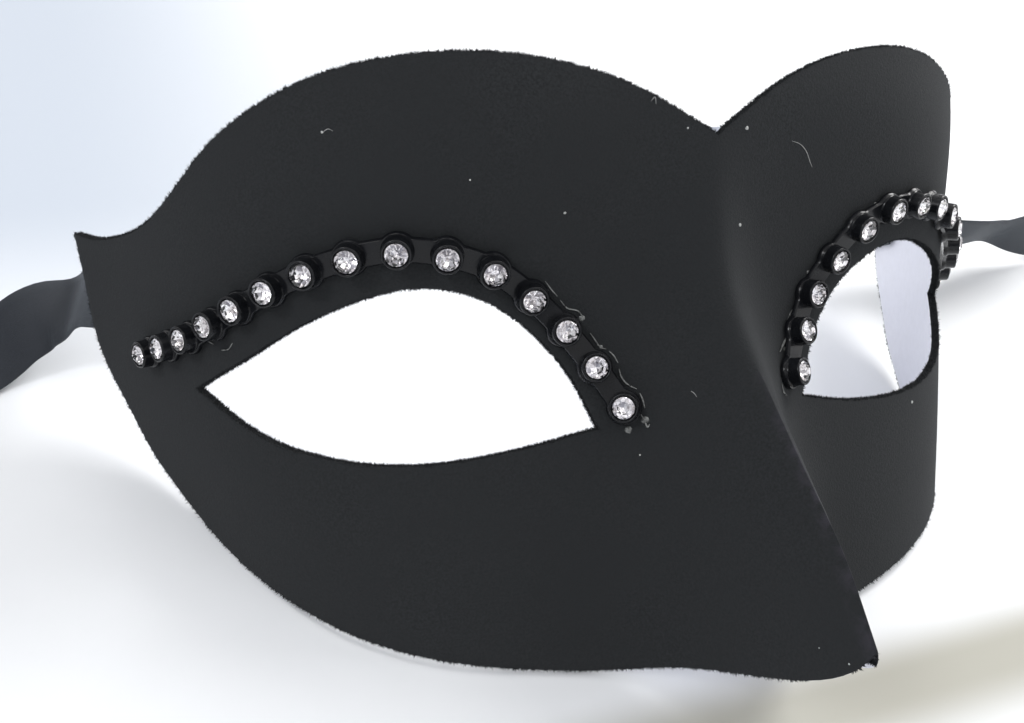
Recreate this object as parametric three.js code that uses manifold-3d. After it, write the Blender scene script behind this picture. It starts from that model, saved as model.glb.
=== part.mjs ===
// A flocked half mask for a masquerade, with a strip of rhinestones over each
// eye hole and a satin ribbon glued behind each outer corner.
//
// Millimetres, +Z up. The mask lies as it does when it is put down loose: on the
// lower rims of its cheeks and on its chin, with the ribbons on the same surface.
//
// The shell is one surface that is described on its unrolled blank: s runs across
// from the centre line to the outer corner, and y runs up the mask. The outline,
// the eye holes and the strips are drawn on that blank.
import * as THREE from "three";
import { mergeVertices } from "three/addons/utils/BufferGeometryUtils.js";
import Module from "manifold-3d";

// Driving dimensions of the shell.
const WALL = 1.4; // plastic with its flock coat on both sides
const LEAN = THREE.MathUtils.degToRad(51.5); // the mask's height against the table
const REST_FLAT = 0.25; // depth of the flat spots that it lies on

// How the blank wraps round the head: [distance from the centre line, bend per mm].
// The left half is spread a little wider than the right one.
const WRAP_RIGHT = [
  [0, 0.0043],
  [25.5, 0.0056],
  [47.3, 0.0131],
  [70.9, 0.0236],
  [104.5, -0.0008],
  [125, -0.0008],
];
const WRAP_LEFT = [
  [0, 0.0043],
  [25.5, 0.0047],
  [47.3, 0.0118],
  [70.9, 0.0268],
  [88, 0.0115],
  [104.5, -0.0008],
  [125, -0.0008],
];
const WRAP_STEP = 0.5;
const CONE = 0.00185; // the wrap widens by this share for each mm upwards
const BOW_RADIUS = 678; // bow of the centre line from forehead to chin
const BOW_TOP = 5.3;

// The nose is a ridge on the centre line that grows from the notch to the chin.
const NOSE = { top: 5.6, bottom: -54.5, rise: 1.2, height: 32.8, width: 9.2, wider: 0.6 };
const NOSE_GROWTH = 1.4; // exponent of its height down the mask
const NOSE_FLANK = 1.4; // exponent of its flanks
const NOSE_CREST = 1.1; // rounding of its crest
const NOSE_WALL = 1.0; // how much narrower the ridge is inside

// The forehead bulges forward above the eye holes.
const BROW = { height: 12.3, from: -22.9, to: 12.9, half: 68.2 };

// Each half on the blank, as [s, y]: its outline, its eye hole and its strip.
const RIGHT_HALF = {
  top: [
    [0, 4.8],
    [7, 9],
    [14, 13.3],
    [28, 17.8],
    [42, 19.3],
    [56, 18.4],
    [70.5, 13.8],
    [79, 9.2],
    [90, 4.4],
    [107.5, 4.2],
    [113.5, 5.6],
    [117.4, 7.1],
  ],
  side: [
    [117.4, 7.1],
    [119, -1.5],
    [121.6, -11.5],
    [120.8, -17.5],
    [113.2, -34.3],
  ],
  lower: [
    [113.2, -34.3],
    [98.2, -48.6],
    [79.4, -59.1],
    [62, -66.4],
    [45, -71],
    [27, -74.2],
  ],
  chin: [
    [27, -74.2],
    [19, -74.4],
    [11, -73.2],
    [5, -72.2],
    [2, -69.2],
    [0, -66.2],
  ],
  upperLid: [
    [20, -36.5],
    [23.8, -26.8],
    [30, -18.8],
    [38.4, -13.6],
    [47, -12],
    [60.5, -14.3],
    [75, -19.1],
    [90, -23],
  ],
  lowerLid: [
    [90, -23],
    [77.5, -31.4],
    [63.3, -36.5],
    [50, -38.6],
    [34, -38.2],
    [20, -36.5],
  ],
  strip: [
    [15.9, -33.5],
    [23.3, -21],
    [33.7, -10.7],
    [47.1, -6.3],
    [60.5, -7.6],
    [72.7, -11.3],
    [85.3, -14.6],
    [99.8, -16],
  ],
  slip: 0.021, // how far the middle of the strip is pushed outwards, as a share of it
};
// The left half was cut with a shorter eye hole and a lower lobe, and its strip
// was glued higher over the nose and lower at its outer end.
const LEFT_HALF = {
  ...RIGHT_HALF,
  top: [
    [0, 4.8],
    [7, 9.4],
    [14, 13.5],
    [28, 17.5],
    [42, 18.5],
    [56, 16.4],
    [70.5, 11.3],
    [79, 7.5],
    [90, 4],
    [107.5, 4.2],
    [113.5, 5.6],
    [117.4, 7.1],
  ],
  upperLid: [
    [20, -36.5],
    [23.8, -26.8],
    [30, -18.8],
    [38.4, -13.6],
    [47, -12],
    [60, -14.3],
    [72, -18.6],
    [82.5, -22.8],
  ],
  lowerLid: [
    [82.5, -22.8],
    [74.5, -31],
    [62.5, -36.9],
    [50, -39.4],
    [34, -39],
    [20, -36.5],
  ],
  strip: [
    [15.7, -32.1],
    [22.7, -18.8],
    [33.7, -8.3],
    [47.1, -6.1],
    [60.5, -8.3],
    [72.7, -12.9],
    [85.3, -17.5],
    [99.8, -21],
  ],
  slip: 0,
};
const SLIP_END = 0.8; // share of the strip where the push has faded out

// The mesh of one half runs in columns from the eye hole to the outline. Each
// stretch names its part of the outline, its part of the eye hole and its columns.
const CENTRE_LINE_LOW = [
  [0, -66.2],
  [0, -40],
];
const CENTRE_LINE_HIGH = [
  [0, -40],
  [0, 4.8],
];
const STRETCHES = [
  { rim: () => CENTRE_LINE_LOW, lid: "lowerLid", from: 0.86, to: 1, columns: 6 },
  { rim: () => CENTRE_LINE_HIGH, lid: "upperLid", from: 0, to: 0.16, columns: 8 },
  { rim: (half) => half.top, lid: "upperLid", from: 0.16, to: 0.96, columns: 18 },
  { rim: (half) => half.side.slice(0, 4), lid: "upperLid", from: 0.96, to: 1, columns: 5 },
  { rim: (half) => half.side.slice(3), lid: "lowerLid", from: 0, to: 0.05, columns: 3 },
  { rim: (half) => half.lower, lid: "lowerLid", from: 0.05, to: 0.68, columns: 12 },
  { rim: (half) => half.chin, lid: "lowerLid", from: 0.68, to: 0.86, columns: 8 },
];
const RINGS = 7;
const CREST_CROWDING = 0.13; // pulls the rings towards the centre line

// Rhinestone strips: a moulded base with a cup for each stone.
const STONES = 15;
const STRIP_GAP = 0.5; // glue line under the strip
const STRIP_WEB = { width: 3.2, thick: 0.6, perStone: 1 };
const LOBE = { radius: 2.65, thick: 0.8 }; // under each cup, a little thicker than the web
const CUP = { foot: 2.35, top: 2.25, bore: 1.95, rim: 2.8, floor: 1.05, sides: 8 };
const STONE = { radius: 1.66, table: 0.95, crown: 0.5, pavilion: 1.3, girdleAt: 2.7, sides: 8 };

// Ribbons. Each route is a list of [x, y, z, turn] in the finished frame: turn is
// 0 degrees where the ribbon lies flat and 90 where it stands on its edge.
const RIBBON = { width: 15, thick: 0.5, steps: 30 };
const RIGHT_ROUTE = [
  [-82, 44, 30.3, 79],
  [-84.8, 49.1, 26.4, 79],
  [-87.4, 53.9, 22.8, 78],
  [-90.3, 61.1, 17.6, 48.5],
  [-94.3, 64.6, 11.5, 21.2],
  [-98.9, 65.3, 10, 26.5],
  [-103.3, 64.6, 7.9, 25.9],
  [-109, 63, 4.1, 21.2],
  [-117, 58.9, 2, 12],
  [-127, 58.9, 1.7, 4.8],
  [-138, 59.1, 3.9, 27],
  [-150, 59.5, 7.2, 66],
  [-162.5, 59.5, 7.8, 90],
];
const LEFT_ROUTE = [
  [81.9, 43.3, 30.8, 101],
  [84.7, 48.4, 26.9, 101],
  [87.2, 53.3, 23.2, 101],
  [90.4, 57.9, 19.6, 88],
  [97.5, 59.5, 18.1, 74],
  [108.5, 55.5, 16.8, 52.2],
  [120, 52.6, 16.1, 53.6],
  [129, 54.9, 14, 53.1],
  [138.7, 56.8, 13.3, 56],
  [149, 57.5, 11, 76],
  [160, 60.1, 8.8, 96],
  [171, 64.5, 7.9, 98],
  [182, 67.9, 7.8, 93],
  [191.5, 68.5, 7.8, 90],
];
// The rest of each ribbon is rolled up loosely and stands on its edge.
const ROLL = { outer: 38.6, inner: 29.2, segments: 20 };
const RIGHT_ROLL = [-172, 21.5];
const LEFT_ROLL = [201, 30.5];

const smoothstep = (t) => {
  const u = THREE.MathUtils.clamp(t, 0, 1);
  return u * u * (3 - 2 * u);
};

// Walks along the wrap and keeps x and z for each step away from the centre line.
function wrapTable(bends) {
  const table = [[0, 0]];
  const end = bends[bends.length - 1][0];
  let angle = 0;
  for (let s = 0; s < end; s += WRAP_STEP) {
    const middle = s + WRAP_STEP / 2;
    const i = Math.max(1, bends.findIndex(([at]) => at >= middle));
    const [s0, bend0] = bends[i - 1];
    const [s1, bend1] = bends[i];
    const bend = THREE.MathUtils.mapLinear(middle, s0, s1, bend0, bend1);
    angle += bend * WRAP_STEP;
    const heading = angle - (bend * WRAP_STEP) / 2;
    const [x, z] = table[table.length - 1];
    table.push([x + Math.cos(heading) * WRAP_STEP, z - Math.sin(heading) * WRAP_STEP]);
  }
  return table;
}

const wrapOnRight = wrapTable(WRAP_RIGHT);
const wrapOnLeft = wrapTable(WRAP_LEFT);

function wrapped(s) {
  const wrap = s < 0 ? wrapOnRight : wrapOnLeft;
  const at = Math.abs(s) / WRAP_STEP;
  const i = Math.min(Math.floor(at), wrap.length - 2);
  const x = THREE.MathUtils.lerp(wrap[i][0], wrap[i + 1][0], at - i);
  const z = THREE.MathUtils.lerp(wrap[i][1], wrap[i + 1][1], at - i);
  return [Math.sign(s) * x, z];
}

// The shell without its nose.
function faceAt(s, y) {
  const [x, z] = wrapped(s);
  const cone = 1 + CONE * y;
  const bow = (y - BOW_TOP) ** 2 / (2 * BOW_RADIUS);
  const lift = smoothstep((y - BROW.from) / (BROW.to - BROW.from));
  const brow = BROW.height * lift * Math.exp(-((Math.abs(s) / BROW.half) ** 4));
  return new THREE.Vector3(x * cone, y, z * cone - bow + brow);
}

// Height of the nose over the face; inset moves it in from the outer surface.
function noseAt(s, y, inset = 0) {
  const down = Math.max(0, (NOSE.top - y) / (NOSE.top - NOSE.bottom));
  const t = down > 1 ? 1 + (down - 1) * 0.6 : down;
  const height = NOSE.rise + (NOSE.height - NOSE.rise) * t ** NOSE_GROWTH;
  const width = NOSE.width + NOSE.wider * Math.min(t, 1.2);
  const away = (Math.hypot(s, NOSE_CREST) + inset) / width;
  const crest = (NOSE_CREST / width) ** NOSE_FLANK;
  return height * Math.exp(crest - away ** NOSE_FLANK);
}

function outerAt(s, y) {
  const point = faceAt(s, y);
  point.z += noseAt(s, y);
  return point;
}

function normalOf(surface, s, y) {
  const h = 0.2;
  const across = surface(s + h, y).sub(surface(s - h, y));
  const up = surface(s, y + h).sub(surface(s, y - h));
  return across.cross(up).normalize();
}

function innerAt(s, y) {
  const point = faceAt(s, y).addScaledVector(normalOf(faceAt, s, y), -WALL);
  point.z += noseAt(s, y, NOSE_WALL);
  return point;
}

// A smooth curve on the blank through a few points, read by its share of length.
function drawn(points) {
  const places = points.map(([s, y]) => new THREE.Vector3(s, y, 0));
  const curve = new THREE.CatmullRomCurve3(places, false, "centripetal");
  curve.arcLengthDivisions = 400;
  return (share) => {
    const p = curve.getPointAt(THREE.MathUtils.clamp(share, 0, 1));
    return [p.x, p.y];
  };
}

// Columns of one half as { rim, lid }, in order round the eye hole.
function columnsOfHalf(half) {
  const columns = [];
  for (const stretch of STRETCHES) {
    const rim = drawn(stretch.rim(half));
    const lid = drawn(half[stretch.lid]);
    for (let i = 0; i < stretch.columns; i += 1) {
      const share = i / stretch.columns;
      const at = THREE.MathUtils.lerp(stretch.from, stretch.to, share);
      columns.push({ rim: rim(share), lid: lid(at) });
    }
  }
  return columns;
}

function blankPoint(column, ring) {
  const t = ring / RINGS;
  const closeness = 1 - smoothstep(column.rim[0] / 40);
  const graded = t + CREST_CROWDING * closeness * Math.sin(Math.PI * t);
  return [
    THREE.MathUtils.lerp(column.lid[0], column.rim[0], graded),
    THREE.MathUtils.lerp(column.lid[1], column.rim[1], graded),
  ];
}

// Presses the lowest points up to one level, which makes the spots that it lies on.
function pressFlat(vertices) {
  const up = new THREE.Vector3(0, Math.sin(LEAN), Math.cos(LEAN));
  const heights = vertices.map((v) => v.dot(up));
  const level = heights.reduce((a, b) => Math.min(a, b)) + REST_FLAT;
  vertices.forEach((v, i) => {
    if (heights[i] < level) {
      v.addScaledVector(up, level - heights[i]);
    }
  });
}

function geometryOf(vertices, triangles) {
  const geometry = new THREE.BufferGeometry();
  const flat = vertices.flatMap((v) => [v.x, v.y, v.z]);
  geometry.setAttribute("position", new THREE.Float32BufferAttribute(flat, 3));
  geometry.setIndex(triangles.flat());
  return geometry;
}

// One closed shell: outer and inner skins, joined round the outline and the lids.
function shellGeometry() {
  const vertices = [];
  const triangles = [];
  const index = new Map();
  let columns = [];
  const vertex = (side, skin, c, ring) => {
    const [s, y] = blankPoint(columns[c], ring);
    const shared = ring === RINGS && s < 1e-6;
    const key = `${shared ? "both" : side} ${skin} ${c} ${ring}`;
    if (!index.has(key)) {
      index.set(key, vertices.length);
      vertices.push(skin === "outer" ? outerAt(side * s, y) : innerAt(side * s, y));
    }
    return index.get(key);
  };
  const quad = (a, b, c, d, turned) => {
    triangles.push(turned ? [a, c, b] : [a, b, c]);
    triangles.push(turned ? [a, d, c] : [a, c, d]);
  };
  for (const side of [-1, 1]) {
    columns = columnsOfHalf(side < 0 ? RIGHT_HALF : LEFT_HALF);
    for (let c = 0; c < columns.length; c += 1) {
      const next = (c + 1) % columns.length;
      for (const skin of ["outer", "inner"]) {
        for (let ring = 0; ring < RINGS; ring += 1) {
          const corners = [
            vertex(side, skin, c, ring),
            vertex(side, skin, next, ring),
            vertex(side, skin, next, ring + 1),
            vertex(side, skin, c, ring + 1),
          ];
          quad(...corners, (skin === "outer") === (side === -1));
        }
      }
      const lid = [
        vertex(side, "outer", c, 0),
        vertex(side, "inner", c, 0),
        vertex(side, "inner", next, 0),
        vertex(side, "outer", next, 0),
      ];
      quad(...lid, side === -1);
      const onCentre = columns[c].rim[0] < 1e-6 && columns[next].rim[0] < 1e-6;
      if (!onCentre) {
        const rim = [
          vertex(side, "outer", c, RINGS),
          vertex(side, "outer", next, RINGS),
          vertex(side, "inner", next, RINGS),
          vertex(side, "inner", c, RINGS),
        ];
        quad(...rim, side === -1);
      }
    }
  }
  pressFlat(vertices);
  return geometryOf(vertices, triangles);
}

// Frames along the strip of one side, evenly spaced: place, normal, heading, side.
function stripFrames(side, count) {
  const { strip, slip } = side < 0 ? RIGHT_HALF : LEFT_HALF;
  const line = drawn(strip);
  const blank = (share) => {
    const pushed = slip * Math.sin(Math.PI * Math.min(1, share / SLIP_END));
    const [s, y] = line(share + pushed);
    return [side * s, y];
  };
  const frames = [];
  for (let i = 0; i < count; i += 1) {
    const share = THREE.MathUtils.mapLinear(i, 0, count - 1, 0, 1);
    const [s, y] = blank(share);
    const [s1, y1] = blank(Math.min(1, share + 0.01));
    const [s0, y0] = blank(Math.max(0, share - 0.01));
    const normal = normalOf(outerAt, s, y);
    const heading = outerAt(s1, y1).sub(outerAt(s0, y0));
    heading.addScaledVector(normal, -heading.dot(normal)).normalize();
    const place = outerAt(s, y).addScaledVector(normal, STRIP_GAP);
    frames.push({ place, normal, heading, aside: normal.clone().cross(heading) });
  }
  return frames;
}

function matrixOf(frame) {
  const matrix = new THREE.Matrix4();
  matrix.makeBasis(frame.heading, frame.aside, frame.normal);
  return matrix.setPosition(frame.place);
}

// A body turned round the local Z axis from [radius, height] pairs.
function turned(profile, sides) {
  const points = profile.map(([r, z]) => new THREE.Vector2(r, z));
  return new THREE.LatheGeometry(points, sides).rotateX(Math.PI / 2);
}

// A band of rectangular section through a row of frames, closed at both ends.
function bandGeometry(frames, width, thick) {
  const vertices = [];
  const triangles = [];
  const corners = [
    [-0.5, 0],
    [0.5, 0],
    [0.5, 1],
    [-0.5, 1],
  ];
  for (const { place, normal, aside } of frames) {
    for (const [across, up] of corners) {
      const corner = place.clone().addScaledVector(aside, across * width);
      vertices.push(corner.addScaledVector(normal, up * thick));
    }
  }
  const last = (frames.length - 1) * 4;
  for (let i = 0; i < last; i += 4) {
    for (let k = 0; k < 4; k += 1) {
      const n = (k + 1) % 4;
      const [a, b, c, d] = [i + k, i + n, i + 4 + n, i + 4 + k];
      // Both faces are split the same way, so that a twist never brings them together.
      triangles.push(...(k === 2 ? [[a, b, d], [b, c, d]] : [[a, b, c], [a, c, d]]));
    }
  }
  triangles.push([0, 2, 1], [0, 3, 2]);
  triangles.push([last, last + 1, last + 2], [last, last + 2, last + 3]);
  return geometryOf(vertices, triangles);
}

const wasm = await Module();
wasm.setup();

function merged(geometry) {
  const bare = geometry.index ? geometry.clone() : geometry.toNonIndexed();
  bare.deleteAttribute("normal");
  bare.deleteAttribute("uv");
  return mergeVertices(bare, 1e-4);
}

function solidOf(geometry) {
  const bare = merged(geometry);
  const corners = Array.from(bare.index.array);
  const kept = [];
  for (let i = 0; i < corners.length; i += 3) {
    const [a, b, c] = corners.slice(i, i + 3);
    if (a !== b && b !== c && a !== c) {
      kept.push(a, b, c);
    }
  }
  const mesh = new wasm.Mesh({
    numProp: 3,
    vertProperties: Float32Array.from(bare.attributes.position.array),
    triVerts: Uint32Array.from(kept),
  });
  return new wasm.Manifold(mesh);
}

function geometryFrom(solid) {
  const { vertProperties, triVerts } = solid.getMesh();
  const geometry = new THREE.BufferGeometry();
  geometry.setAttribute("position", new THREE.BufferAttribute(Float32Array.from(vertProperties), 3));
  geometry.setIndex(Array.from(triVerts));
  return geometry;
}

// The strip of one side: its web, with a lobe, a cup and a bore for each stone.
function stripGeometry(side) {
  const lobe = [
    [0, 0],
    [LOBE.radius, 0],
    [LOBE.radius, LOBE.thick],
    [CUP.foot, LOBE.thick],
    [CUP.top, CUP.rim],
    [0, CUP.rim],
  ];
  const bore = [
    [0, CUP.floor],
    [CUP.bore, CUP.floor],
    [CUP.bore, CUP.rim + 1],
    [0, CUP.rim + 1],
  ];
  const count = (STONES - 1) * STRIP_WEB.perStone + 1;
  const web = stripFrames(side, count);
  for (const { place, normal } of web) {
    place.addScaledVector(normal, (LOBE.thick - STRIP_WEB.thick) / 2);
  }
  let strip = solidOf(bandGeometry(web, STRIP_WEB.width, STRIP_WEB.thick));
  const cups = stripFrames(side, STONES).map(matrixOf);
  for (const matrix of cups) {
    strip = strip.add(solidOf(turned(lobe, CUP.sides).applyMatrix4(matrix)));
  }
  for (const matrix of cups) {
    strip = strip.subtract(solidOf(turned(bore, CUP.sides).applyMatrix4(matrix)));
  }
  return geometryFrom(strip);
}

function stoneGeometry() {
  const profile = [
    [0, STONE.girdleAt - STONE.pavilion],
    [STONE.radius, STONE.girdleAt],
    [STONE.table, STONE.girdleAt + STONE.crown],
    [0, STONE.girdleAt + STONE.crown],
  ];
  return geometryFrom(solidOf(turned(profile, STONE.sides)));
}

// Frames along a ribbon's route, with its width turned about its heading.
function ribbonFrames(route) {
  const places = route.map(([x, y, z]) => new THREE.Vector3(x, y, z));
  const turns = route.map(([, , , turn]) => new THREE.Vector3(turn, 0, 0));
  const path = new THREE.CatmullRomCurve3(places, false, "centripetal");
  const turning = new THREE.CatmullRomCurve3(turns, false, "catmullrom", 0.5);
  const up = new THREE.Vector3(0, 0, 1);
  const frames = [];
  for (let i = 0; i <= RIBBON.steps; i += 1) {
    const t = i / RIBBON.steps;
    const heading = path.getTangent(t);
    const level = heading.clone().cross(up).normalize();
    const raised = level.clone().cross(heading);
    const angle = THREE.MathUtils.degToRad(turning.getPoint(t).x);
    const aside = level.multiplyScalar(Math.cos(angle)).addScaledVector(raised, Math.sin(angle));
    const normal = heading.clone().cross(aside);
    const place = path.getPoint(t).addScaledVector(normal, -RIBBON.thick / 2);
    frames.push({ place, normal, heading, aside });
  }
  return frames;
}

function rollGeometry([x, y]) {
  const profile = [
    [ROLL.inner, 0],
    [ROLL.outer, 0],
    [ROLL.outer, RIBBON.width],
    [ROLL.inner, RIBBON.width],
    [ROLL.inner, 0],
  ];
  return turned(profile, ROLL.segments).translate(x, y, 0);
}

function piece(name, geometry, finish) {
  const mesh = new THREE.Mesh(geometry, finish.clone());
  mesh.name = name;
  return mesh;
}

const FLOCK = new THREE.MeshStandardMaterial({ color: "#17191b", roughness: 1 });
const GLOSS = new THREE.MeshStandardMaterial({ color: "#0b0c0d", roughness: 0.15 });
const CRYSTAL = new THREE.MeshStandardMaterial({ color: "#e8ebee", roughness: 0.05, metalness: 0.2 });
const SATIN = new THREE.MeshStandardMaterial({ color: "#23262c", roughness: 0.4 });

function maskGroup() {
  const mask = new THREE.Group();
  mask.name = "mask";
  mask.add(piece("mask_shell", shellGeometry(), FLOCK));
  for (const [hand, side] of [["right", -1], ["left", 1]]) {
    mask.add(piece(`trim_strip_${hand}`, stripGeometry(side), GLOSS));
    stripFrames(side, STONES).forEach((frame, i) => {
      const number = String(i + 1).padStart(2, "0");
      const stone = piece(`rhinestone_${hand}_${number}`, stoneGeometry(), CRYSTAL);
      stone.applyMatrix4(matrixOf(frame));
      mask.add(stone);
    });
  }
  // It lies back, and stands with the middle of its underside at the origin.
  mask.rotation.x = LEAN;
  mask.updateMatrixWorld(true);
  const box = new THREE.Box3().setFromObject(mask, true);
  mask.position.set(0, -(box.min.y + box.max.y) / 2, -box.min.z);
  return mask;
}

const model = new THREE.Group();
model.name = "masquerade_eye_mask";
model.add(maskGroup());
for (const [hand, route, roll] of [
  ["right", RIGHT_ROUTE, RIGHT_ROLL],
  ["left", LEFT_ROUTE, LEFT_ROLL],
]) {
  const band = bandGeometry(ribbonFrames(route), RIBBON.width, RIBBON.thick);
  model.add(piece(`ribbon_${hand}`, band, SATIN));
  model.add(piece(`ribbon_roll_${hand}`, rollGeometry(roll), SATIN));
}

export default model;
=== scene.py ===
"""Looks of a flocked masquerade eye mask with rhinestone strips and satin ribbons."""

import math
import random

import bmesh
import bpy
import numpy as np
from bpy.props import FloatProperty, FloatVectorProperty, IntProperty, PointerProperty
from mathutils import Matrix, Vector
from mathutils.bvhtree import BVHTree
from mathutils.kdtree import KDTree


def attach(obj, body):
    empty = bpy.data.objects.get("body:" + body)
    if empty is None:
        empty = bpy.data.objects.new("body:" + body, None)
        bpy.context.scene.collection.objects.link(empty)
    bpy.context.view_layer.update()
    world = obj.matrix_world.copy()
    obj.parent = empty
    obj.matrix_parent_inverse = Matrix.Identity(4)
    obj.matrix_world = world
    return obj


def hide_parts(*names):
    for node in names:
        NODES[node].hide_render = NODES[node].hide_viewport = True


bl_info = {
    "name": "Masquerade Eye Mask",
    "version": (1, 0, 0),
    "blender": (4, 5, 0),
    "location": "View3D > Sidebar > Eye Mask",
    "description": "Dresses the eye mask with flock, rhinestone strips and satin ribbons",
    "category": "Object",
}

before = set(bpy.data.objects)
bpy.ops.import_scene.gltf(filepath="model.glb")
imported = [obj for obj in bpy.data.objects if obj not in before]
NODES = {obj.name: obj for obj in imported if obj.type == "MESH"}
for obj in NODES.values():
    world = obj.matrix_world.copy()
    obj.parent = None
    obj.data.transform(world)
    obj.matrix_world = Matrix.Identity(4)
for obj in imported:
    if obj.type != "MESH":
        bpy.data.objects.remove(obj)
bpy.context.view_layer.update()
MM = 0.001

# The camera of the photograph, in the object's frame.
CAMERA_AT = Vector((-82.8, -111.88, 132.46)) * MM
CAMERA_RIGHT = Vector((0.9297, -0.3476, 0.1215))
CAMERA_DOWN = Vector((-0.1237, -0.6056, -0.7861))
FOCAL_PIXELS = 1000.0
FRAME_PIXELS = (1024, 723)
SENSOR_MM = 36.0
NEAR_CLIP = 0.005
MISSED_DEPTH = 0.2  # how far along its ray a pixel lies that misses the mask
MASK_FRONT = Vector((0.0, -0.783, 0.623))  # the way that the mask looks as it lies

# Lights as (place, diameter, colour), with what they are aimed at.
KEY_LIGHT = ((0.75, 0.4, 0.8), 0.6, (1.0, 0.99, 0.97))
SIDE_LIGHT = ((-0.7, -0.2, 0.75), 0.25, (0.95, 0.97, 1.0))
SIDE_POWER = 2.0
LIGHT_AIM = Vector((0.0, 0.0, 0.03))
# The room: which way is bright, its colours from dim to bright, and its dark patches.
BRIGHT_WAY = (0.28, 0.4, 0.87)
ROOM_DIM = (0.24, 0.25, 0.27, 1.0)
ROOM_BRIGHT = (1.0, 0.99, 0.98, 1.0)
ROOM_DARK = (0.12, 0.12, 0.14, 1.0)
# The floor, with where its two painted shades start and finish, in metres along x and y: a warm
# painted shade in front of the mask, and a cooler painted shade towards the far left where the
# light falls off.
FLOOR_SIZE = 6.0
FLOOR_HEIGHT = -0.0002
PAINTED_FRONT_SHADE_BACK_EDGE = (-0.037, -0.047)
PAINTED_FRONT_SHADE_FRONT_EDGE = (-0.064, -0.051)
PAINTED_FRONT_SHADE_SIDE_EDGE = (-0.06, -0.01)
PAINTED_FRONT_SHADE_COLOUR = (0.5, 0.48, 0.41)
PAINTED_FALLOFF_SIDE = (0.05, -0.1)
PAINTED_FALLOFF_BACK = (0.04, 0.13)
PAINTED_FALLOFF_COLOUR = (0.57, 0.61, 0.67)

# Colours that more than one line uses, and shades as shares of a colour.
FLOCK_SHADES = (0.78, 1.25)
FLOCK_WORN = (0.036, 0.035, 0.042, 1.0)
CREST_REACH = (0.0013, 0.0002)  # the worn crest of the nose, from its edge to its middle
CREST_START = (-0.02, -0.032)  # where the wear sets in along the nose, along y
STRIP_PLASTIC = (0.006, 0.0065, 0.008, 1.0)
STRIP_SMEAR = (0.011, 0.012, 0.014, 1.0)
SATIN_SHADES = (0.45, 1.7)

# Angles of the shell, in degrees: between the faces at a cut edge, at an edge that is
# rounded, and between two cut edges that meet in a corner, off and on the centre line.
CUT_ANGLE = 58
ROUND_ANGLE = 50
CORNER_ANGLE = 80
CENTRE_CORNER_ANGLE = 140
# Loose fibres: how far they lean, their radii and lengths as shares, and how many are
# short; none reaches below the last height.
FIBRE_LEAN = 0.5
FIBRE_RADII = (0.7, 1.3)
FIBRE_LENGTHS = (0.3, 1.0)
FIBRE_SHORTNESS = 1.4
FIBRE_LOWEST = 0.00002

# Routes of the ribbons behind the outer corners, as (x, y, z, turn) in millimetres
# and degrees. A turn of 0 lies flat and 90 stands on its edge.
RIGHT_ROUTE = (
    (-82, 44, 30.3, 79),
    (-84.8, 49.1, 26.4, 79),
    (-87.4, 53.9, 22.8, 78),
    (-90.3, 61.1, 17.6, 48.5),
    (-94.3, 64.6, 11.5, 21.2),
    (-98.9, 65.3, 10, 26.5),
    (-103.3, 64.6, 7.9, 25.9),
    (-109, 63, 4.1, 21.2),
    (-117, 58.9, 2, 12),
    (-127, 58.9, 1.7, 4.8),
    (-138, 59.1, 3.9, 27),
    (-150, 59.5, 7.2, 66),
    (-162.5, 59.5, 7.8, 90),
)
LEFT_ROUTE = (
    (81.9, 43.3, 30.8, 101),
    (84.7, 48.4, 26.9, 101),
    (87.2, 53.3, 23.2, 101),
    (90.4, 57.9, 19.6, 88),
    (97.5, 59.5, 18.1, 74),
    (108.5, 55.5, 16.8, 52.2),
    (120, 52.6, 16.1, 53.6),
    (129, 54.9, 14, 53.1),
    (138.7, 56.8, 13.3, 56),
    (149, 57.5, 11, 76),
    (160, 60.1, 8.8, 96),
    (171, 64.5, 7.9, 98),
    (182, 67.9, 7.8, 93),
    (191.5, 68.5, 7.8, 90),
)
# The rest of each ribbon is rolled up on its edge: centre, outer radius, winding.
RIGHT_ROLL = ((-172, 21.5), 38, 1)
LEFT_ROLL = ((201, 30.5), 38, -1)
ROLL_PITCH = 6
ROLL_STEP = 1.5
LEAST_STEP = 0.001
ON_EDGE = 90.0
ROUTE_STEPS = 12
LEAD_ROWS = 8
RIBBON_SPACING = 0.0012
# Half of a ribbon's section as (share of half the width, share of half the thickness).
RIBBON_SECTION = (
    (-1.0, 0.55),
    (-0.97, 1.25),
    (-0.7, 1.0),
    (-0.35, 1.0),
    (0.0, 1.0),
    (0.35, 1.0),
    (0.7, 1.0),
    (0.97, 1.25),
    (1.0, 0.55),
)
CM_IN_METRE = 100
WEAVE_BACK = 3.0  # how far the back is shifted on the map of the weave, in centimetres
WEAVE_TURN = 38

STONES = 15
STONE_TIP = 1.4  # height of a stone's lower point over the underside of the strip
# Half of a cup's section as (radius, height): outside, rim, seat under the stone.
CUP_SECTION = (
    (2.5, 0.7),
    (2.38, 0.85),
    (2.33, 1.1),
    (2.27, 2.5),
    (2.24, 2.66),
    (2.17, 2.76),
    (2.07, 2.8),
    (1.97, 2.78),
    (1.89, 2.7),
    (1.84, 2.56),
    (1.8, 2.46),
    (1.6, 2.5),
    (0.25, 1.45),
    (0, 1.3),
)
CUP_STEPS = 40
# The strip's base, as (side, inset in millimetres, share of the thickness).
BASE_SECTION = (
    (-1, 0, 0),
    (-1, 0, 0.6),
    (-1, 0.25, 1),
    (1, -0.25, 1),
    (1, 0, 0.6),
    (1, 0, 0),
)
BASE_STEPS = 18
BASE_TIP = 0.12  # half width of its tips, as a share of its half width at a cup
BLANK_SIDES = 48
BLANK_DEPTH = 3.2
STONE_TILT = 2.0  # how unevenly the stones sit, in degrees
SILVERED_BELOW = -0.2  # faces that look further down than this are silvered
STONE_RADIUS = 1.66
STONE_GIRDLE = 0.08
CROWN_HEIGHT = 0.5
PAVILION_DEPTH = 1.3
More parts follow.
